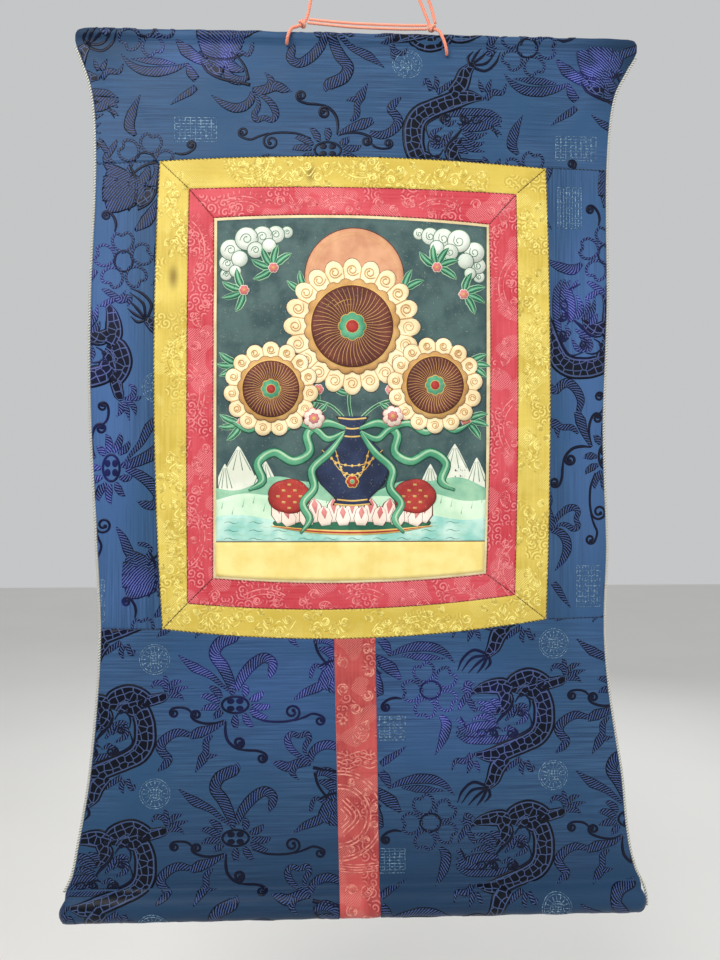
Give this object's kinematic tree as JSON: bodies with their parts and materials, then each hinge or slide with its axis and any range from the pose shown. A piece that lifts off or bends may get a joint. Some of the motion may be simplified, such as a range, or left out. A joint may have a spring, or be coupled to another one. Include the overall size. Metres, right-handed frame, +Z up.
{
  "type": "thangka scroll painting with hanging stick, bottom dowel and hanging cord",
  "caption": "Painted cloth panel in a pieced silk brocade mount, sewn round a thin stick above and a thick dowel below, hung by a limp cord.",
  "frame": {"origin": "where a nail carries the cord's small loop, at the top of the hanging", "axes": "+Z up along the hanging cloth, +X to the viewer's right, and the painted face looks along -Y"},
  "size_m": [0.5295, 0.0274, 0.977],
  "materials": {
    "blue_brocade": "woven silk brocade, deep blue with darker satin motifs",
    "yellow_silk": "golden yellow silk damask, tone on tone",
    "red_silk": "red silk damask, tone on tone",
    "painted_canvas": "primed cotton canvas, matt paint",
    "piping_cord": "thin twisted grey and white cord",
    "hanging_cord": "limp twisted cord, coral red",
    "rod_wood": "plain turned wood, unfinished"
  },
  "bodies": {
    "root": {"painting": "painted_canvas", "red_border_top": "red_silk", "red_border_bottom": "red_silk", "red_border_left": "red_silk", "red_border_right": "red_silk", "yellow_border_top": "yellow_silk", "yellow_border_bottom": "yellow_silk", "yellow_border_left": "yellow_silk", "yellow_border_right": "yellow_silk", "blue_side_left": "blue_brocade", "blue_side_right": "blue_brocade", "blue_panel_top": "blue_brocade", "blue_panel_bottom_left": "blue_brocade", "blue_panel_bottom_right": "blue_brocade", "red_stripe": "red_silk", "top_stick": "rod_wood", "bottom_dowel": "rod_wood", "piping_left": "piping_cord", "piping_right": "piping_cord", "hanging_cord_left": "hanging_cord", "hanging_cord_right": "hanging_cord", "hanging_cord_right_second": "hanging_cord", "cross_tie_upper": "hanging_cord", "cross_tie_lower": "hanging_cord", "cord_hitch_left": "hanging_cord", "cord_hitch_right": "hanging_cord", "top_knot": "hanging_cord", "hanging_loop": "hanging_cord"}
  },
  "joints": []
}
